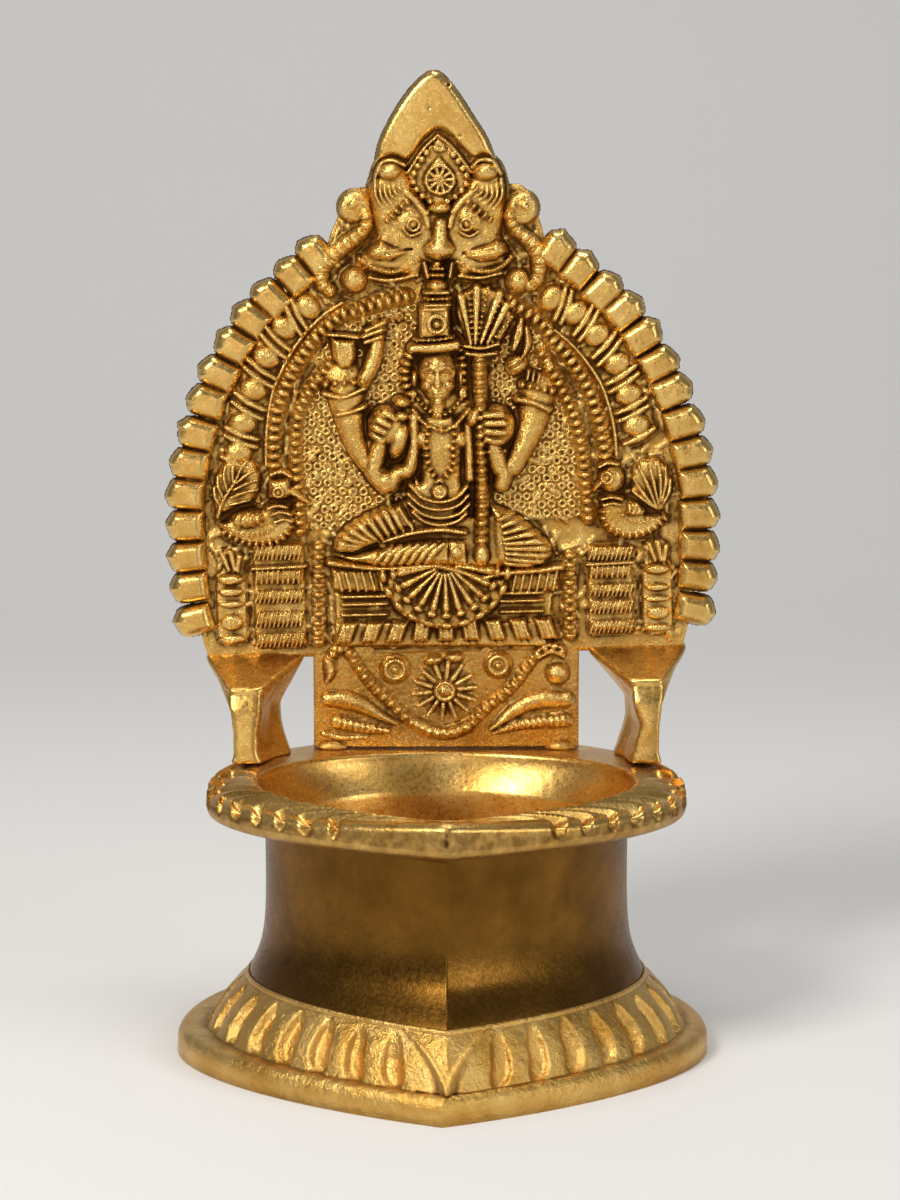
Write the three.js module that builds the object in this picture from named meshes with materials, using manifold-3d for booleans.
// Brass oil lamp: a leaf shaped foot, stem and bowl, and a tall aureole with a seated goddess.
// Millimetres, +Z up, the front towards -Y. The origin lies on the table under the middle.
import * as THREE from 'three';
import { mergeVertices } from 'three/addons/utils/BufferGeometryUtils.js';
import Module from 'manifold-3d';

const wasm = await Module();
wasm.setup();

// Clearances
const castGap = 0.3; // between castings that aren't seated face to face
const reliefGap = 0.35; // between neighbouring ornaments
const overrun = 2; // by which a cut runs past the metal

// Foot
const footWidth = 112;
const footLength = 115;
const slabHeight = 6;
const footLedge = 5.5;
const footWall = 3.5;
const seatHeight = 11; // where the stem stands in the foot
const lipHeight = 15.4;
const lipDip = 2.6; // by which the lip drops at the keel
const lipWidth = 1.3;
const gadroonCount = 40;
const gadroonDepth = 1.1;
const lipRoundShare = 0.45;

// Stem
const stemShift = 0.8; // the stem and all above it stand this far to the right on the foot
const skirtHalf = 42.5;
const skirtTip = 52;
const skirtFlare = 4.5; // by which the skirt is wider than the waist on each side
const keelFlare = 10.5; // and longer at the keel
const stemWall = 2.4;
const stemTop = 49.5;

// Oil bowl
const rimOverhang = 12.5; // beyond the waist on each side
const rimTipOverhang = 6;
const rimThickness = 8.5;
const rimRound = 2.2;
const rimLand = 11.1; // width of the rim on each side of the opening
const rimTipLand = 2.5;
const rimBackLand = 21; // where the aureole stands
const cupWall = 1.6;
const neckDrop = 2.4; // by which the neck of the cup stands in from the opening at the back
const cupDepth = 31;
const fluteCount = 36;
const fluteDepth = 0.9;

// Aureole
const aureoleHeight = 124.7;
const aureoleHalf = 54;
const panelHeight = 22.3; // from the rim of the bowl up to the underside of the aureole
const panelWidth = 58;
const plateInset = 18; // from the back of the rim to the front of the plate
const plateThickness = 5.5;
const plateRound = 0.8;
const leanDegrees = 1.3; // the aureole was fixed a little crooked
const gableHalf = 15.5;
const gableTip = 1.3;
const bossPitch = 6.75;
const bossLength = 8.6;
const bossWidth = 5.7;
const bossHeight = 2.8;
const bossOutset = 2; // from the plate's edge to the middle of a boss

// Brackets
const postInset = 4.3; // from the widest place of the rim to the outer edge of a post
const postWidth = 6.2;
const postDepth = 23.5; // from the front of a post back to the rear of the plate
const shelfReach = 6.2; // of the shelf beyond the post
const shelfClear = 2; // between the shelf and the panel
const shelfDrop = 5.6;
const shelfEdge = 1.2; // thickness of the shelf's edge

// Relief. Its widths and heights are shares of the plate that carries it, its depths are its own.
const figureDepth = 6.4;
const throneDepth = 4.2;
const lionDepth = 6.2;
const crestDepth = 2.4;
const ropeWidth = 3.7;
const ropeBead = 3; // length of a bead along an arch
const innerRopeWidth = 2.4;
const petalCount = 8; // in each band and in the flower
const petalDepth = 1.7;
const pillarDepth = 2.6;
const birdDepth = 3.2;
const flowerDepth = 2;
const festoonWidth = 2.6;
const festoonBead = 3.2;
const brazeLength = 8;
const brazeHeight = 2.2;

// Facets
const stemColumns = 40;
const fluteSteps = 2;
const roundSides = 8;
const roundRings = 5;
const petalSides = 6;
const petalRings = 3;
const ropeSides = 6;
const beadSteps = 2;
const curveSteps = 12;

// Worked out from the sizes above
const footHalf = footWidth / 2;
const leafCentre = footLength / 2 - footHalf;
const footTip = footLength / 2 + leafCentre;
const rimTop = stemTop + rimThickness;
const aureoleFoot = rimTop + panelHeight;
const waistHalf = skirtHalf - skirtFlare;
const rimHalf = waistHalf + rimOverhang;
const rimTip = skirtTip - keelFlare + rimTipOverhang;
const openingBack = rimHalf - rimBackLand;
const plateFront = leafCentre + rimHalf - plateInset;
const postFront = plateFront + plateThickness - postDepth;
const postOuter = rimHalf - postInset;
const shelfOuter = postOuter + shelfReach;
const shelfInner = panelWidth / 2 + shelfClear;
const lean = THREE.MathUtils.degToRad(-leanDegrees);
const skirt = { half: skirtHalf, tip: skirtTip, x: stemShift };
const footEdge = { half: footHalf, tip: footTip, x: 0 };
const waist = { half: waistHalf, tip: skirtTip - keelFlare, x: stemShift };
const rimEdge = { half: rimHalf, tip: rimTip, x: stemShift };
const opening = {
  half: rimHalf - rimLand,
  tip: rimTip - rimTipLand,
  back: openingBack,
  x: stemShift,
};

// A leaf section: a half circle at the back, and two swelling sides that meet at a keel in front.
const sideReachShare = 0.4;
const keelSwellShare = 0.52;
const keelReachShare = 0.78;
const keelStretchShare = 1.3; // a wall measures this much more along the keel than across it

function leafRing(section, height, columns) {
  const { half, tip, x } = section;
  const back = section.back ?? half;
  const side = -tip * sideReachShare;
  const near = -tip * keelReachShare;
  const swell = half * keelSwellShare;
  const edge = new THREE.Path();
  edge.moveTo(0, -tip);
  edge.bezierCurveTo(swell, near, half, side, half, 0);
  edge.absellipse(0, 0, half, back, 0, Math.PI, false);
  edge.bezierCurveTo(-half, side, -swell, near, 0, -tip);
  const points = edge.getSpacedPoints(columns).slice(0, columns);
  return points.map((p) => new THREE.Vector3(p.x + x, p.y + leafCentre, height));
}

// The same section with a wall taken off all round.
function inset(section, wall) {
  const back = section.back ?? section.half;
  return {
    half: section.half - wall,
    tip: section.tip - wall * keelStretchShare,
    back: back - wall,
    x: section.x,
  };
}

function blend(a, b, share) {
  const mix = (from, to) => THREE.MathUtils.lerp(from, to, share);
  return {
    half: mix(a.half, b.half),
    tip: mix(a.tip, b.tip),
    back: mix(a.back ?? a.half, b.back ?? b.half),
    x: mix(a.x, b.x),
  };
}

// Joins rings of points, from the outer foot up, over the top and down inside.
function joinRings(rings, isLoop, caps) {
  const count = rings[0].length;
  const places = rings.flatMap((ring) => ring.flatMap((p) => [p.x, p.y, p.z]));
  const faces = [];
  const bands = isLoop ? rings.length : rings.length - 1;
  for (let band = 0; band < bands; band += 1) {
    const low = band * count;
    const high = ((band + 1) % rings.length) * count;
    for (let column = 0; column < count; column += 1) {
      const next = (column + 1) % count;
      faces.push(low + column, low + next, high + next);
      faces.push(low + column, high + next, high + column);
    }
  }
  if (!isLoop) {
    const top = (rings.length - 1) * count;
    const foot = caps ?? THREE.ShapeUtils.triangulateShape(rings[0], []);
    const head = caps ?? THREE.ShapeUtils.triangulateShape(rings.at(-1), []);
    for (const [a, b, c] of foot) faces.push(a, c, b);
    for (const [a, b, c] of head) faces.push(top + a, top + b, top + c);
  }
  const geometry = new THREE.BufferGeometry();
  geometry.setAttribute('position', new THREE.Float32BufferAttribute(places, 3));
  geometry.setIndex(faces);
  return geometry;
}

// Faces across a ring whose points run back along one side and forward along the other.
function ladderCap(count) {
  const faces = [];
  for (let near = 0; near + 1 < count / 2; near += 1) {
    const far = count - 1 - near;
    faces.push([near, near + 1, far - 1], [near, far - 1, far]);
  }
  return faces;
}

function toSolid(geometry) {
  const bare = geometry.clone();
  bare.deleteAttribute('normal');
  bare.deleteAttribute('uv');
  const merged = mergeVertices(bare);
  return new wasm.Manifold(
    new wasm.Mesh({
      numProp: 3,
      vertProperties: new Float32Array(merged.attributes.position.array),
      triVerts: new Uint32Array(merged.index.array),
    }),
  );
}

function toGeometry(solid) {
  const mesh = solid.getMesh();
  const geometry = new THREE.BufferGeometry();
  geometry.setAttribute('position', new THREE.BufferAttribute(mesh.vertProperties, 3));
  geometry.setIndex(new THREE.BufferAttribute(mesh.triVerts, 1));
  return geometry;
}

function union(geometries) {
  return geometries.map(toSolid).reduce((whole, next) => whole.add(next));
}

function mirrored(geometry) {
  const flipped = geometry.clone();
  flipped.deleteAttribute('normal');
  flipped.deleteAttribute('uv');
  const whole = mergeVertices(flipped);
  whole.scale(-1, 1, 1);
  const order = whole.index.array;
  for (let i = 0; i < order.length; i += 3) {
    [order[i + 1], order[i + 2]] = [order[i + 2], order[i + 1]];
  }
  return whole;
}

// Foot
const slabRowsShare = [
  [0.06, 0],
  [0, 0.16],
  [0, 0.62],
  [0.14, 1],
]; // way in towards the skirt, height in the slab
const bandRowsShare = [0, 0.3, 0.7, 1]; // way up the gadroons
const bandBulgeShare = [0, 0.46, 0.84, 1]; // height reached there
const grooveRowsShare = [0.35, 1, 1, 0.5]; // depth of the grooves there
const gadroonShare = [1, 0, 0]; // depth of the groove across one gadroon
const gadroonSteps = gadroonShare.length;
const keelDipShare = 0.16; // length of the edge over which the lip dips
const ledgeAtKeelShare = 0.4; // of its width at the sides
const hollowRowsShare = [
  [0.1, 0.72],
  [0.8, 0],
]; // way out to the foot's edge, height below the seat

function sinkGrooves(ring, depth) {
  return ring.map((p, column) => {
    const sink = depth * gadroonShare[column % gadroonSteps];
    const inward = new THREE.Vector3(-p.x, leafCentre - p.y, 0).setLength(sink);
    return p.clone().add(inward);
  });
}

function dipLip(ring) {
  return ring.map((p, column) => {
    const along = Math.min(column, ring.length - column) / ring.length;
    const share = Math.max(0, 1 - along / keelDipShare);
    return new THREE.Vector3(p.x, p.y, p.z - lipDip * share * share);
  });
}

function footGeometry() {
  const columns = gadroonCount * gadroonSteps;
  const lipInner = inset(skirt, -castGap);
  const lipOuter = inset(lipInner, -lipWidth);
  const ledgeKeel = footLedge * ledgeAtKeelShare;
  const bandFoot = { ...inset(footEdge, footLedge), tip: footTip - ledgeKeel };
  const bore = inset(skirt, stemWall + castGap);
  const floor = inset(footEdge, footWall);
  const rings = slabRowsShare.map(([share, rise]) =>
    leafRing(blend(footEdge, bandFoot, share), slabHeight * rise, columns),
  );
  const bandTop = lipHeight - lipWidth;
  bandRowsShare.forEach((share, row) => {
    const height = THREE.MathUtils.lerp(slabHeight, bandTop, bandBulgeShare[row]);
    const ring = leafRing(blend(bandFoot, lipOuter, share), height, columns);
    const dipped = row === bandRowsShare.length - 1 ? dipLip(ring) : ring;
    rings.push(sinkGrooves(dipped, gadroonDepth * grooveRowsShare[row]));
  });
  rings.push(dipLip(leafRing(inset(lipOuter, lipWidth * lipRoundShare), lipHeight, columns)));
  rings.push(dipLip(leafRing(lipInner, bandTop, columns)));
  rings.push(leafRing(lipInner, seatHeight, columns));
  rings.push(leafRing(bore, seatHeight, columns));
  for (const [share, rise] of hollowRowsShare) {
    rings.push(leafRing(blend(bore, floor, share), seatHeight * rise, columns));
  }
  return joinRings(rings, true);
}

// Stem
const stemRowsShare = [
  [0, 0],
  [0.14, 0.05],
  [0.46, 0.13],
  [0.74, 0.24],
  [0.93, 0.4],
  [1, 0.6],
  [1, 0.86],
  [0.96, 1],
]; // way in from the skirt to the waist, height up the stem

function stemGeometry() {
  const outside = stemRowsShare.map(([share, rise]) => {
    const height = THREE.MathUtils.lerp(seatHeight, stemTop, rise);
    return leafRing(blend(skirt, waist, share), height, stemColumns);
  });
  const inside = stemRowsShare.map(([share, rise]) => {
    const height = THREE.MathUtils.lerp(seatHeight, stemTop, rise);
    return leafRing(inset(blend(skirt, waist, share), stemWall), height, stemColumns);
  });
  return joinRings([...outside, ...inside.reverse()], true);
}

// Oil bowl
const cupRowsShare = [
  [0.5, 0],
  [0.8, 0.14],
  [0.94, 0.4],
  [1, 1],
]; // width of the cup's inside against its neck, height from its floor to its neck
const funnelShare = 0.45; // height between the neck and the opening where the wall is halfway in
const frontPlainShare = 0.16; // length of the rim, from its tip, without flutes
const rimShoulderShare = 0.6;

function cupSection(share) {
  const neck = inset(waist, stemWall + castGap + cupWall);
  return {
    half: neck.half * share,
    tip: neck.tip * share,
    back: (openingBack - neckDrop) * share,
    x: neck.x,
  };
}

function cutFlutes(ring, depth) {
  return ring.map((p, column) => {
    const along = Math.min(column, ring.length - column) / ring.length;
    const isPlain = along < frontPlainShare || p.y > postFront;
    const isGroove = column % fluteSteps === 0;
    return new THREE.Vector3(p.x, p.y, isPlain || !isGroove ? p.z : p.z - depth);
  });
}

function bowlGeometry() {
  const columns = fluteCount * fluteSteps;
  const floorHeight = rimTop - cupDepth;
  const neckHeight = stemTop;
  const cupRow = (share, rise, wall) => {
    const height = THREE.MathUtils.lerp(floorHeight, neckHeight, rise);
    return leafRing(inset(cupSection(share), -wall), height - (rise ? 0 : wall), columns);
  };
  const outside = cupRowsShare.map(([share, rise]) => cupRow(share, rise, cupWall));
  const inside = cupRowsShare.map(([share, rise]) => cupRow(share, rise, 0));
  const rimLow = inset(rimEdge, rimRound);
  const shoulder = rimRound * rimShoulderShare;
  const funnel = blend(cupSection(1), opening, funnelShare);
  const funnelHeight = THREE.MathUtils.lerp(stemTop, rimTop, funnelShare);
  const rimRows = [
    leafRing(rimLow, stemTop, columns),
    leafRing(rimEdge, stemTop + rimRound, columns),
    cutFlutes(leafRing(rimEdge, rimTop - rimRound, columns), fluteDepth),
    cutFlutes(leafRing(inset(rimEdge, shoulder), rimTop, columns), fluteDepth),
    leafRing(inset(opening, -shoulder), rimTop, columns),
    leafRing(opening, rimTop - shoulder, columns),
    leafRing(funnel, funnelHeight, columns),
  ];
  return joinRings([...outside, ...rimRows, ...inside.reverse()], false);
}

// Brackets. A row holds the outer edge, the inner front edge and the inner rear edge of a post,
// as shares of the way from the post to the shelf, then its front, rear and height.
const leftPostRowsShare = [
  { outer: 0.02, inner: 0.04, rearInner: 0.72, rearOuter: -1.05, front: 0, rear: 0.64, rise: 0 },
  { outer: -0.08, inner: -0.06, rearInner: 0.6, rearOuter: -0.7, front: 0.02, rear: 0.68, rise: 0.14 },
  { outer: -0.08, inner: -0.06, rearInner: 0.45, rearOuter: -0.4, front: 0.04, rear: 0.74, rise: 0.45 },
  { outer: 0, inner: 0.02, rearInner: 0.42, rearOuter: 0, front: 0.07, rear: 0.82, rise: 0.72 },
];
const rightPostRowsShare = [
  { outer: 0.02, inner: 0.04, rearInner: 0.42, rearOuter: -1.05, front: 0, rear: 0.64, rise: 0 },
  { outer: -0.08, inner: 0, rearInner: 0.3, rearOuter: -0.7, front: 0.02, rear: 0.68, rise: 0.14 },
  { outer: -0.08, inner: -0.2, rearInner: 0.1, rearOuter: -0.4, front: 0.04, rear: 0.74, rise: 0.45 },
  { outer: 0, inner: 0, rearInner: 0.12, rearOuter: 0, front: 0.07, rear: 0.82, rise: 0.72 },
];
const shelfFrontShare = 0.12; // way back from the post's front to the plate's rear
const shelfOuterShare = 0.3; // way out at the front edge of the shelf
const shelfMiddleShare = 0.6;

function bracketGeometry(side, rowsShare, headFoot) {
  const plateRear = plateFront + plateThickness;
  const inner = postOuter - postWidth;
  const outerAt = (share) => THREE.MathUtils.lerp(postOuter, shelfOuter, share);
  const innerAt = (share) => THREE.MathUtils.lerp(inner, shelfInner, share);
  const depthAt = (share) => THREE.MathUtils.lerp(postFront, plateRear, share);
  const place = (across, y, z) => new THREE.Vector3(stemShift + across, y, z);
  const topAt = (across) => headFoot(stemShift + side * across) - castGap;
  const postHeight = topAt(shelfOuter) - shelfDrop - rimTop;
  const rows = rowsShare.map((row) => {
    const height = rimTop + postHeight * row.rise;
    const middle = (row.front + row.rear) / 2;
    return [
      place(outerAt(row.outer), depthAt(row.front), height),
      place(outerAt((row.outer + row.rearOuter) / 2), depthAt(middle), height),
      place(outerAt(row.rearOuter), depthAt((middle + row.rear) / 2), height),
      place(outerAt(row.rearOuter), depthAt(row.rear), height),
      place(innerAt(row.rearInner), depthAt(row.rear), height),
      place(innerAt(row.rearInner), depthAt((middle + row.rear) / 2), height),
      place(innerAt((row.inner + row.rearInner) / 2), depthAt(middle), height),
      place(innerAt(row.inner), depthAt(row.front), height),
    ];
  });
  const shelf = (share, drop) => {
    const half = outerAt(share);
    const near = innerAt(share);
    const y = THREE.MathUtils.lerp(depthAt(shelfFrontShare), plateFront, share);
    const z = (across) => topAt(across) - drop * (1 - share);
    return { half, near, y, z };
  };
  const ends = [shelf(shelfOuterShare * shelfFrontShare, shelfDrop), shelf(shelfMiddleShare, shelfDrop)];
  ends.push(shelf(1, shelfDrop));
  const row = (thickness) => [
    ...ends.map((end) => place(end.half, end.y, end.z(end.half) - thickness)),
    place(shelfOuter, plateRear, topAt(shelfOuter) - thickness),
    place(shelfInner, plateRear, topAt(shelfInner) - thickness),
    ...ends
      .slice()
      .reverse()
      .map((end) => place(end.near, end.y, end.z(end.near) - thickness)),
  ];
  rows.push(row(shelfEdge), row(0));
  const geometry = joinRings(rows, false, ladderCap(rows[0].length));
  if (side > 0) return geometry;
  geometry.translate(-stemShift, 0, 0);
  const left = mirrored(geometry);
  left.translate(stemShift, 0, 0);
  return left;
}

// Aureole plate, drawn upright and then leaned. A share up the plate or across its half width
// gives a place on it.
const middleShare = 0.198; // where the plate is widest
const riseShare = 0.549; // half height of its oval edge
const gableFootShare = 0.7875;
const bossTopShare = 0.69;
const bossFootShare = 0.059;
const upPlate = (share) => aureoleFoot + aureoleHeight * share;
const acrossPlate = (share) => aureoleHalf * share;
const aureoleMiddle = upPlate(middleShare);
const aureoleRise = aureoleHeight * riseShare;
const lampHeight = upPlate(1);

function leanMatrix() {
  const toPivot = new THREE.Matrix4().makeTranslation(0, 0, aureoleMiddle);
  const turn = new THREE.Matrix4().makeRotationY(lean);
  const back = new THREE.Matrix4().makeTranslation(0, 0, -aureoleMiddle);
  return toPivot.multiply(turn).multiply(back);
}

const gableShoulderShare = 0.46; // of the plate's half width, where the oval edge ends
const gableSwellShare = [0.92, 0.36, 0.42, 0.8]; // control points of one side of the gable

function headShape() {
  const shoulder = Math.asin(Math.sqrt(1 - gableShoulderShare * gableShoulderShare));
  const footAngle = Math.asin((aureoleFoot - aureoleMiddle) / aureoleRise);
  const footHalfWidth = aureoleHalf * Math.cos(footAngle);
  const gableFoot = upPlate(gableFootShare);
  const gable = lampHeight - gableFoot;
  const [wide, low, narrow, high] = gableSwellShare;
  const shape = new THREE.Shape();
  shape.moveTo(-footHalfWidth, aureoleFoot);
  shape.lineTo(footHalfWidth, aureoleFoot);
  shape.absellipse(0, aureoleMiddle, aureoleHalf, aureoleRise, footAngle, shoulder, false);
  shape.lineTo(gableHalf, gableFoot);
  shape.bezierCurveTo(
    gableHalf * wide,
    gableFoot + gable * low,
    gableHalf * narrow,
    gableFoot + gable * high,
    gableTip,
    lampHeight - gableTip,
  );
  shape.lineTo(0, lampHeight);
  shape.lineTo(-gableTip, lampHeight - gableTip);
  shape.bezierCurveTo(
    -gableHalf * narrow,
    gableFoot + gable * high,
    -gableHalf * wide,
    gableFoot + gable * low,
    -gableHalf,
    gableFoot,
  );
  const from = Math.PI - shoulder;
  const to = Math.PI - footAngle;
  shape.absellipse(0, aureoleMiddle, aureoleHalf, aureoleRise, from, to, false);
  return shape;
}

// Turns a drawing of width and height into a slab of metal that stands up, its back at the rear.
function standUp(shape, thickness, edge, front) {
  const slab = new THREE.ExtrudeGeometry(shape, {
    depth: thickness - 2 * edge,
    bevelEnabled: edge > 0,
    bevelThickness: edge,
    bevelSize: edge,
    bevelOffset: -edge,
    bevelSegments: 1,
    curveSegments: curveSteps,
  });
  slab.rotateX(Math.PI / 2);
  slab.translate(0, front + thickness - edge, 0);
  return slab;
}

function edgePoint(angle, outset) {
  const a = aureoleHalf + outset;
  const b = aureoleRise + outset;
  return new THREE.Vector2(a * Math.cos(angle), aureoleMiddle + b * Math.sin(angle));
}

const bossCutShare = 0.3; // of a boss's width, taken off its corners

function bossGeometries(grow = 0) {
  const wideReach = aureoleHalf + bossOutset;
  const tallReach = aureoleRise + bossOutset;
  const angleAt = (share) => Math.asin((upPlate(share) - aureoleMiddle) / tallReach);
  const from = angleAt(bossFootShare);
  const to = angleAt(bossTopShare);
  const edge = new THREE.EllipseCurve(0, aureoleMiddle, wideReach, tallReach, from, to);
  const bossCount = Math.round(edge.getLength() / bossPitch) + 1;
  const cut = bossWidth * bossCutShare;
  const long = bossLength / 2 + grow;
  const wide = bossWidth / 2 + grow;
  const shape = new THREE.Shape();
  shape.moveTo(-long, wide);
  shape.lineTo(-long, -wide);
  shape.lineTo(long - cut, -wide);
  shape.lineTo(long, cut - wide);
  shape.lineTo(long, wide - cut);
  shape.lineTo(long - cut, wide);
  const thickness = bossHeight + grow + plateThickness - plateRound;
  const bosses = [];
  for (let i = 0; i < bossCount; i += 1) {
    const share = i / (bossCount - 1);
    const place = edge.getPointAt(share);
    const along = edge.getTangentAt(share);
    const boss = standUp(shape, thickness, cut / 2, 0);
    boss.rotateY(Math.PI / 2 - Math.atan2(along.y, along.x));
    boss.translate(place.x, plateFront - bossHeight - grow, place.y);
    bosses.push(boss, mirrored(boss));
  }
  return bosses;
}

// The leaned head is set so that its widest bosses are as far left as right of the origin.
const headSpan = toGeometry(union(bossGeometries()));
headSpan.applyMatrix4(leanMatrix());
headSpan.computeBoundingBox();
const headShift = -(headSpan.boundingBox.min.x + headSpan.boundingBox.max.x) / 2;

// The bosses are cut back where ornaments reach in between them.
function headGeometry(rooms) {
  const bosses = clearOf(union(bossGeometries()), rooms);
  const slab = toSolid(standUp(headShape(), plateThickness, plateRound, plateFront));
  const head = toGeometry(slab.add(bosses));
  head.applyMatrix4(leanMatrix());
  head.translate(headShift, 0, 0);
  return head;
}

// Height of the aureole's underside at a place across the lamp.
function headFoot(x) {
  const drop = aureoleFoot - aureoleMiddle;
  const across = (x - headShift - drop * Math.sin(lean)) / Math.cos(lean);
  return aureoleMiddle + drop * Math.cos(lean) - across * Math.sin(lean);
}

function panelGeometry() {
  const foot = rimTop + castGap;
  const height = aureoleFoot + plateThickness - foot;
  const half = panelWidth / 2;
  const shape = new THREE.Shape();
  shape.moveTo(-half, foot);
  shape.lineTo(half, foot);
  shape.lineTo(half, foot + height);
  shape.lineTo(-half, foot + height);
  const panel = standUp(shape, plateThickness, 0, plateFront);
  panel.translate(stemShift, 0, 0);
  return panel;
}

function aureoleGeometry(rooms) {
  return toGeometry(toSolid(headGeometry(rooms)).add(toSolid(panelGeometry())));
}

// Relief: low solids that run a little way into the plate, until their backs are cut flat on it.
function rise(shape, depth, edge) {
  return standUp(shape, depth + overrun, edge, plateFront - depth);
}

function behindPlate() {
  const block = new THREE.BoxGeometry(footWidth * overrun, footWidth, lampHeight * overrun);
  block.translate(0, plateFront + footWidth / 2, lampHeight / 2);
  return toSolid(block);
}
const backCut = behindPlate();

function onPlate(solid) {
  return solid.subtract(backCut);
}

// Where ornaments cross, the one behind is cut back from the room that the one in front takes.
function clearOf(solid, rooms) {
  return rooms.reduce((rest, room) => rest.subtract(room), solid);
}

function lump(place, radii, turn = 0, sides = roundSides, rings = roundRings) {
  const ball = new THREE.SphereGeometry(1, sides, rings);
  ball.rotateX(Math.PI / 2);
  ball.scale(radii.x, radii.y, radii.z);
  ball.rotateY(turn);
  ball.translate(place.x, plateFront, place.z);
  return ball;
}

// A rope of beads along a line on the plate: thick in the middle of each bead and thin between them.
const beadNeckShare = 0.8;

function rope(points, width, height, beadLength) {
  const path = new THREE.CatmullRomCurve3(points.map((p) => new THREE.Vector3(p.x, plateFront, p.z)));
  const steps = Math.max(1, Math.round(path.getLength() / beadLength)) * beadSteps;
  const rings = [];
  for (let step = 0; step <= steps; step += 1) {
    const place = path.getPointAt(step / steps);
    const along = path.getTangentAt(step / steps);
    const swell = step % beadSteps ? 1 : beadNeckShare;
    const ring = [];
    for (let side = 0; side < ropeSides; side += 1) {
      const angle = ((side + 1 / 2) / ropeSides) * 2 * Math.PI;
      const across = (width / 2) * swell * Math.cos(angle);
      const proud = height * swell * Math.sin(angle);
      const offset = new THREE.Vector3(-along.z * across, -proud, along.x * across);
      ring.push(place.clone().add(offset));
    }
    rings.push(ring);
  }
  const fan = Array.from({ length: ropeSides - 2 }, (_, side) => [0, side + 1, side + 2]);
  return joinRings(rings, false, fan);
}

// Rows of a relief: place across and up, half width and half height, depth, turn in degrees.
// The frame gives the middle and foot of the relief on the plate, its width and its height.
function reliefSolid(rowsShare, frameShare, depth, grow) {
  const middle = acrossPlate(frameShare.across);
  const foot = upPlate(frameShare.foot);
  const width = acrossPlate(frameShare.width);
  const height = aureoleHeight * frameShare.height;
  const lumps = rowsShare.map(([across, up, halfWidth, halfHeight, deep, degrees]) => {
    const place = { x: middle + across * width, z: foot + up * height };
    const radii = {
      x: halfWidth * width + grow,
      y: deep * depth + grow,
      z: halfHeight * height + grow,
    };
    return lump(place, radii, THREE.MathUtils.degToRad(degrees ?? 0));
  });
  return union(lumps);
}

// Goddess
const figureFrameShare = { across: 0, foot: 0.16, width: 1.176, height: 0.509 };
const figureRowsShare = [
  [-0.19, 0.075, 0.2, 0.07, 0.8, -8], // right thigh and shin
  [0.19, 0.075, 0.2, 0.07, 0.8, 8], // left thigh and shin
  [0, 0.05, 0.24, 0.05, 0.9], // crossed feet
  [0, 0.2, 0.09, 0.12, 0.75], // waist
  [0, 0.37, 0.13, 0.12, 0.85], // chest
  [0, 0.5, 0.04, 0.06, 0.8], // neck
  [0, 0.625, 0.072, 0.092, 1], // head
  [0, 0.72, 0.078, 0.045, 1], // crown band
  [0, 0.8, 0.064, 0.09, 0.9], // crown
  [0, 0.91, 0.04, 0.08, 0.72], // crown top
  [-0.16, 0.37, 0.055, 0.13, 0.85, -28], // right upper arm
  [-0.19, 0.36, 0.05, 0.12, 0.95, 4], // right forearm
  [-0.2, 0.45, 0.055, 0.06, 1], // right hand
  [0.15, 0.39, 0.055, 0.11, 0.85, 30], // left upper arm
  [0.16, 0.45, 0.06, 0.06, 1], // left hand
  [-0.27, 0.46, 0.06, 0.17, 0.7, -35], // rear right arm
  [-0.27, 0.66, 0.055, 0.12, 0.7, 20], // rear right forearm
  [-0.31, 0.73, 0.06, 0.06, 0.7], // rear right hand
  [0.27, 0.46, 0.06, 0.17, 0.7, 35], // rear left arm
  [0.28, 0.66, 0.055, 0.12, 0.7, -20], // rear left forearm
  [0.14, 0.36, 0.03, 0.4, 0.95, 0], // staff
  [0.16, 0.84, 0.07, 0.1, 0.6], // head of the staff
];

function goddessSolid(grow) {
  return reliefSolid(figureRowsShare, figureFrameShare, figureDepth, grow);
}

// Lion mask
const lionFrameShare = { across: 0.006, foot: 0.644, width: 0.611, height: 0.2085 };
const lionRowsShare = [
  [0.02, 0.33, 0.11, 0.15, 1], // nose
  [-0.17, 0.47, 0.13, 0.15, 0.85], // right eye
  [0.21, 0.46, 0.13, 0.15, 0.85], // left eye
  [0.02, 0.58, 0.1, 0.12, 0.8], // knob on the brow
  [-0.28, 0.25, 0.2, 0.13, 0.75, 10], // right cheek
  [0.32, 0.25, 0.2, 0.13, 0.75, -10], // left cheek
  [0.02, 0.12, 0.44, 0.11, 0.6], // jaw
  [-0.28, 0.88, 0.1, 0.12, 0.75], // right horn
  [0.34, 0.88, 0.1, 0.12, 0.75], // left horn
  [-0.34, 0.68, 0.12, 0.2, 0.6, 20], // right mane
  [0.4, 0.68, 0.12, 0.2, 0.6, -20], // left mane
  [0.02, 0.7, 0.3, 0.16, 0.5], // forehead
];

function lionSolid(grow) {
  return reliefSolid(lionRowsShare, lionFrameShare, lionDepth, grow);
}

// Crest: a diamond with a round boss.
const crestFrameShare = { across: 0.015, up: 0.82, halfWidth: 0.133, halfHeight: 0.058 };
const crestBossShare = 0.5;
const crestProudShare = 1.5;

function crestSolid(grow) {
  const middle = acrossPlate(crestFrameShare.across);
  const height = upPlate(crestFrameShare.up);
  const wide = acrossPlate(crestFrameShare.halfWidth) + grow;
  const tall = aureoleHeight * crestFrameShare.halfHeight + grow;
  const shape = new THREE.Shape();
  shape.moveTo(middle - wide, height);
  shape.lineTo(middle, height - tall);
  shape.lineTo(middle + wide, height);
  shape.lineTo(middle, height + tall);
  const depth = crestDepth + grow;
  const diamond = rise(shape, depth, plateRound);
  const radii = { x: wide * crestBossShare, y: depth * crestProudShare, z: tall * crestBossShare };
  return union([diamond, lump({ x: middle, z: height }, radii)]);
}

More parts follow.
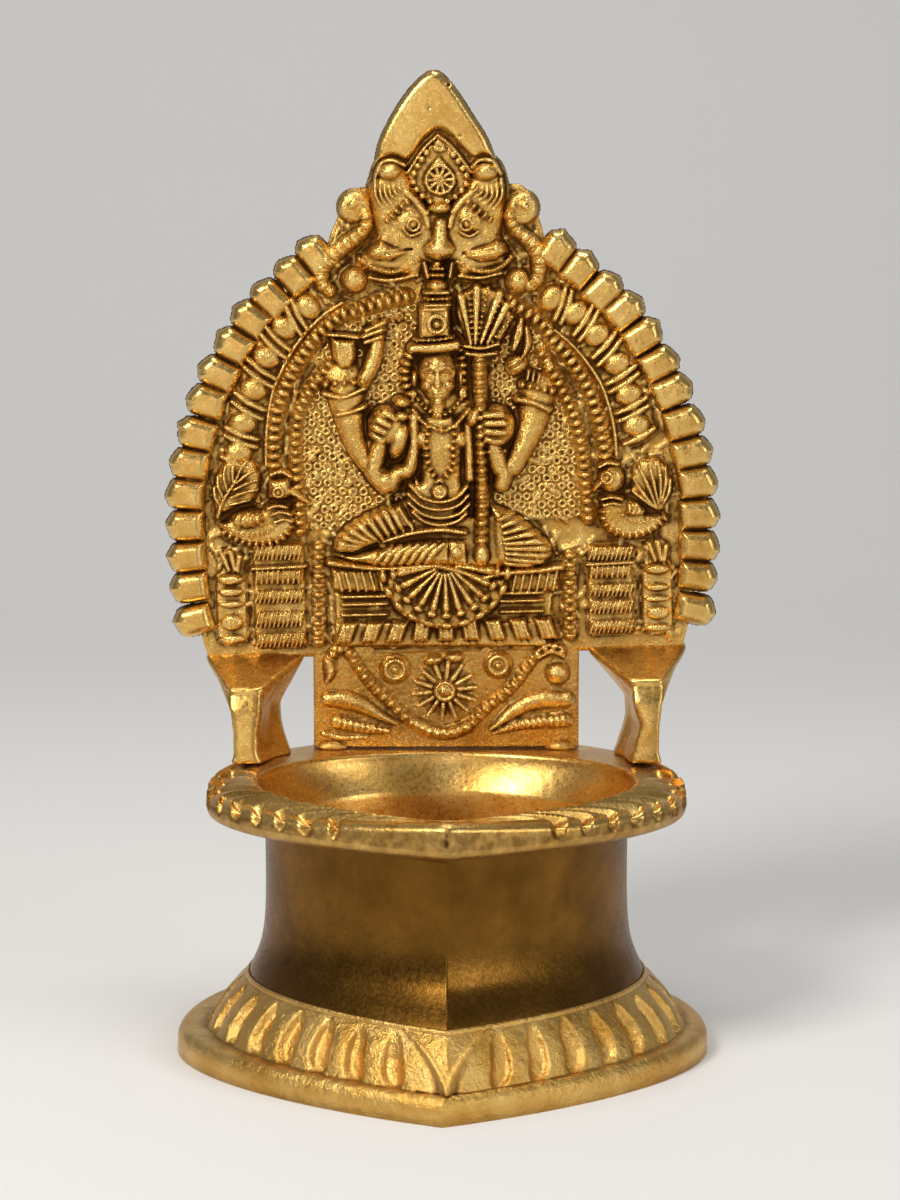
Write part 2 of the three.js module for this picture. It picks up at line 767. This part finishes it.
// Throne: a tier of petals, a waisted middle, a lower tier and the apron of the skirt over them.
const throneFrameShare = { foot: 0.0082, width: 0.9185, height: 0.149 };
const throneRowsShare = [
  { half: 0.48, low: 0, high: 0.3, depth: 0.8 },
  { half: 0.44, low: 0.3, high: 0.64, depth: 0.55 },
  { half: 0.5, low: 0.64, high: 1, depth: 0.85 },
];
const apronShare = 0.25; // half width of the apron against the throne's width
const apronDropShare = 0.67; // of the throne's height
const tierRoundShare = 0.3;

function throneSolid() {
  const foot = upPlate(throneFrameShare.foot);
  const throneWidth = acrossPlate(throneFrameShare.width);
  const throneHeight = aureoleHeight * throneFrameShare.height;
  const tiers = throneRowsShare.map(({ half, low, high, depth }) => {
    const shape = new THREE.Shape();
    shape.moveTo(-half * throneWidth, foot + low * throneHeight);
    shape.lineTo(half * throneWidth, foot + low * throneHeight);
    shape.lineTo(half * throneWidth, foot + high * throneHeight);
    shape.lineTo(-half * throneWidth, foot + high * throneHeight);
    const deep = depth * throneDepth;
    return rise(shape, deep, deep * tierRoundShare);
  });
  const apron = new THREE.Shape();
  const hang = { half: throneWidth * apronShare, drop: throneHeight * apronDropShare };
  const top = foot + throneHeight - plateRound;
  apron.absellipse(0, top, hang.half, hang.drop, Math.PI, 2 * Math.PI, false);
  const half = rise(apron, throneDepth, plateRound);
  return union([...tiers, half]);
}

// Arches: two ropes of beads on each side, from the bird's beak up to the crown.
const outerArchShare = [
  [0.652, 0.31],
  [0.657, 0.379],
  [0.639, 0.433],
  [0.602, 0.481],
  [0.546, 0.524],
  [0.489, 0.553],
  [0.398, 0.583],
  [0.309, 0.597],
  [0.12, 0.616],
]; // across the plate's half width, up the plate
const innerArchShare = [
  [0.574, 0.238],
  [0.576, 0.364],
  [0.556, 0.412],
  [0.52, 0.463],
  [0.474, 0.5],
  [0.389, 0.543],
];
const ropeProudShare = 0.55; // of its width, out of the plate

function plateAt([across, up]) {
  return { x: acrossPlate(across), z: upPlate(up) };
}

function archSolid(pointsShare, width, side, grow = 0) {
  const points = pointsShare.map(plateAt);
  const arch = rope(points, width + 2 * grow, width * ropeProudShare + grow, ropeBead);
  return toSolid(side < 0 ? mirrored(arch) : arch);
}

// Petal bands: radial petals between the bosses and the arches, on a low strip.
const petalFromShare = 0.325; // angles of the first and last petal, as shares of half a turn
const petalToShare = 0.1;
const petalInsetShare = 0.14; // from the plate's edge to a petal's middle, of its half width
const petalHalfShare = 0.085;
const petalWideShare = 1.3; // petals touch their neighbours
const stripHalfShare = 0.045;
const stripDepthShare = 0.4; // of a petal's depth

function petalStrip() {
  const middle = acrossPlate(petalInsetShare);
  const half = acrossPlate(stripHalfShare);
  const depth = petalDepth * stripDepthShare;
  const from = Math.PI * petalToShare;
  const to = Math.PI * petalFromShare;
  const strip = new THREE.Shape();
  const outer = half - middle;
  const inner = -half - middle;
  const wide = aureoleHalf + outer;
  strip.absellipse(0, aureoleMiddle, wide, aureoleRise + outer, from, to, false);
  const narrow = aureoleHalf + inner;
  strip.absellipse(0, aureoleMiddle, narrow, aureoleRise + inner, to, from, true);
  return rise(strip, depth, 0);
}

function petalBandSolid(side, grow = 0) {
  const inward = -aureoleHalf * petalInsetShare;
  const petals = [petalStrip()];
  const length = aureoleHalf * petalHalfShare;
  for (let i = 0; i < petalCount; i += 1) {
    const share = i / (petalCount - 1);
    const angle = Math.PI * THREE.MathUtils.lerp(petalFromShare, petalToShare, share);
    const place = edgePoint(angle, inward);
    const next = edgePoint(angle + (Math.PI * (petalToShare - petalFromShare)) / petalCount, inward);
    const half = (place.distanceTo(next) * petalWideShare) / 2;
    const radii = { x: length + grow, y: petalDepth + grow, z: half + grow };
    petals.push(lump({ x: place.x, z: place.y }, radii, -angle, petalSides, petalRings));
  }
  return union(side < 0 ? petals.map(mirrored) : petals);
}

// Scrolls: a rope that curls down beside the lion and ends in a ball.
const scrollShare = [
  [-0.24, 0.76],
  [-0.35, 0.775],
  [-0.42, 0.72],
  [-0.43, 0.665],
  [-0.38, 0.635],
];
const scrollBallShare = 0.75; // radius of the ball against the rope's width

function scrollSolid(side, grow = 0) {
  const points = scrollShare.map(plateAt);
  const tail = rope(points, ropeWidth + 2 * grow, ropeWidth * ropeProudShare + grow, ropeBead);
  const radius = ropeWidth * scrollBallShare + grow;
  const ball = lump(points.at(-1), { x: radius, y: radius, z: radius });
  const solids = [tail, ball];
  return union(side > 0 ? solids.map(mirrored) : solids);
}

// Birds: a fan of tail feathers, a coiled body, a neck and a head with a beak.
const birdFrameShare = { across: 0.9185, foot: 0.1933, width: -0.3444, height: 0.1556 };
const birdRowsShare = [
  [0.28, 0.7, -0.24, 0.3, 0.8, 35], // fan of the tail
  [0.5, 0.3, -0.36, 0.24, 1], // body
  [0.74, 0.42, -0.16, 0.22, 0.9, -15], // neck
  [0.8, 0.6, -0.12, 0.12, 1], // head
];

function birdSolid(side, grow = 0) {
  const bird = toGeometry(reliefSolid(birdRowsShare, birdFrameShare, birdDepth, grow));
  return toSolid(side < 0 ? mirrored(bird) : bird);
}

// Pillars: a stack of ribbed tiers between a narrow outer shaft and a strip of beads.
const pillarFrameShare = { inner: 0.474, foot: 0.0072, width: 0.4333, height: 0.181 };
const pillarPartsShare = [
  { from: 0, to: 0.13, depth: 0.7, high: 1 },
  { from: 0.13, to: 0.68, depth: 0.45, high: 0.97 },
  { from: 0.68, to: 1, depth: 0.8, high: 0.96 },
];
const pillarTierCount = 5;
const tierShare = 0.62; // of the space for a tier

function pillarSolid(side, grow = 0) {
  const blocks = [];
  const acrossAt = (share) => acrossPlate(pillarFrameShare.inner + pillarFrameShare.width * share);
  const upAt = (share) => upPlate(pillarFrameShare.foot + pillarFrameShare.height * share);
  const block = (from, to, low, high, deep) => {
    const shape = new THREE.Shape();
    shape.moveTo(acrossAt(from) - grow, upAt(low) - grow);
    shape.lineTo(acrossAt(to) + grow, upAt(low) - grow);
    shape.lineTo(acrossAt(to) + grow, upAt(high) + grow);
    shape.lineTo(acrossAt(from) - grow, upAt(high) + grow);
    const depth = deep + grow;
    blocks.push(rise(shape, depth, depth * tierRoundShare));
  };
  for (const { from, to, depth, high } of pillarPartsShare) {
    block(from, to, 0, high, depth * pillarDepth);
  }
  const [, middle] = pillarPartsShare;
  for (let i = 0; i < pillarTierCount; i += 1) {
    const low = (i + (1 - tierShare) / 2) / pillarTierCount;
    const high = low + tierShare / pillarTierCount;
    block(middle.from, middle.to, low * middle.high, high * middle.high, pillarDepth);
  }
  return union(side < 0 ? blocks.map(mirrored) : blocks);
}

// Panel: a flower, and a festoon of beads with curled ends.
const flowerMiddleShare = 0.583; // up the panel
const flowerRadiusShare = 0.35; // of the panel's height
const petalSlimShare = 0.34;
const flowerEyeShare = 0.38;
const panelMiddle = rimTop + panelHeight * flowerMiddleShare;

function flowerSolid(grow) {
  const petals = [];
  const flowerRadius = panelHeight * flowerRadiusShare;
  const half = flowerRadius / 2;
  for (let i = 0; i < petalCount; i += 1) {
    const angle = (2 * Math.PI * i) / petalCount;
    const place = { x: half * Math.cos(angle), z: panelMiddle + half * Math.sin(angle) };
    const radii = { x: half + grow, y: flowerDepth / 2 + grow, z: half * petalSlimShare + grow };
    petals.push(lump(place, radii, -angle, petalSides, petalRings));
  }
  const middle = flowerRadius * flowerEyeShare;
  petals.push(lump({ x: 0, z: panelMiddle }, { x: middle, y: flowerDepth + grow, z: middle }));
  return union(petals);
}

const festoonShare = [
  [-0.42, 0.42],
  [-0.42, 0.78],
  [-0.34, 0.9],
  [-0.17, 0.42],
  [0, 0.16],
  [0.17, 0.42],
  [0.34, 0.9],
  [0.42, 0.78],
  [0.42, 0.42],
]; // across the panel's width and up its height

function festoonSolid() {
  const points = festoonShare.map(([across, up]) => ({
    x: across * panelWidth,
    z: rimTop + up * panelHeight,
  }));
  const chain = rope(points, festoonWidth, festoonWidth * ropeProudShare, festoonBead);
  return toSolid(chain).subtract(flowerSolid(reliefGap));
}

// Braze lumps in the corners between the panel's foot and the rim.
function brazeSolid(side) {
  const reach = panelWidth / 2 - brazeLength / 2;
  const radii = { x: brazeLength / 2, y: brazeHeight, z: brazeHeight };
  const ball = lump({ x: side * reach + stemShift, z: rimTop }, radii);
  const under = new THREE.BoxGeometry(footWidth, footWidth, rimTop);
  under.translate(0, 0, rimTop / 2);
  return toSolid(ball).subtract(toSolid(under));
}

// Materials: one brass, paler where it was filed and darker in the relief and on the stem.
function brass(colour, roughness) {
  return new THREE.MeshStandardMaterial({ color: colour, roughness, metalness: 1 });
}

function piece(name, geometry, colour, roughness) {
  const mesh = new THREE.Mesh(geometry, brass(colour, roughness));
  mesh.name = name;
  return mesh;
}

const filedBrass = 0xc89a3f;
const castBrass = 0xb98830;
const stemBrass = 0xa88440;

const lamp = new THREE.Group();
lamp.add(piece('foot', footGeometry(), castBrass, 0.42));
lamp.add(piece('stem', stemGeometry(), stemBrass, 0.38));
lamp.add(piece('oil_bowl', bowlGeometry(), filedBrass, 0.36));
lamp.add(piece('left_bracket', bracketGeometry(-1, leftPostRowsShare, headFoot), filedBrass, 0.4));
lamp.add(piece('right_bracket', bracketGeometry(1, rightPostRowsShare, headFoot), filedBrass, 0.4));
lamp.add(piece('left_braze', toGeometry(onPlate(brazeSolid(-1))), castBrass, 0.5));
lamp.add(piece('right_braze', toGeometry(onPlate(brazeSolid(1))), castBrass, 0.5));

const goddessRoom = goddessSolid(reliefGap);
const crestRoom = crestSolid(reliefGap);
const lionRoom = lionSolid(reliefGap).add(crestRoom);
const sides = [-1, 1];
const bossRooms = sides.flatMap((side) => [
  onPlate(scrollSolid(side, reliefGap)),
  onPlate(pillarSolid(side, reliefGap)),
  onPlate(petalBandSolid(side, reliefGap)),
]);
lamp.add(piece('aureole_plate', aureoleGeometry(bossRooms), filedBrass, 0.4));

function sideRelief(name, side) {
  const scrollRoom = scrollSolid(side, reliefGap);
  const birdRoom = birdSolid(side, reliefGap);
  const archShare = side < 0 ? outerArchShare : outerArchShare.slice(0, -1);
  const archRoom = archSolid(archShare, ropeWidth, side, reliefGap);
  const outer = archSolid(archShare, ropeWidth, side);
  const inner = archSolid(innerArchShare, innerRopeWidth, side);
  const middleRooms = [goddessRoom, lionRoom];
  const bandRooms = [...middleRooms, scrollRoom, birdRoom, archRoom];
  return {
    [`${name}_scroll`]: clearOf(scrollSolid(side), middleRooms),
    [`${name}_outer_arch`]: clearOf(outer, [...middleRooms, scrollRoom, birdRoom]),
    [`${name}_inner_arch`]: clearOf(inner, [goddessRoom, birdRoom, archRoom]),
    [`${name}_petal_band`]: clearOf(petalBandSolid(side), bandRooms),
    [`${name}_bird`]: birdSolid(side),
    [`${name}_pillar`]: clearOf(pillarSolid(side), [birdRoom]),
  };
}

const leaning = new THREE.Group();
leaning.applyMatrix4(leanMatrix());
leaning.position.x += headShift;
const relief = {
  goddess_figure: goddessSolid(0),
  throne: clearOf(throneSolid(), [goddessRoom]),
  lion_mask: clearOf(lionSolid(0), [crestRoom, goddessRoom]),
  crest_medallion: crestSolid(0),
  ...sideRelief('left', -1),
  ...sideRelief('right', 1),
};
for (const [name, solid] of Object.entries(relief)) {
  leaning.add(piece(name, toGeometry(onPlate(solid)), castBrass, 0.45));
}
lamp.add(leaning);

const panel = new THREE.Group();
panel.position.x = stemShift;
panel.add(piece('panel_flower', toGeometry(onPlate(flowerSolid(0))), castBrass, 0.45));
panel.add(piece('panel_festoon', toGeometry(onPlate(festoonSolid())), castBrass, 0.45));
lamp.add(panel);

export default lamp;
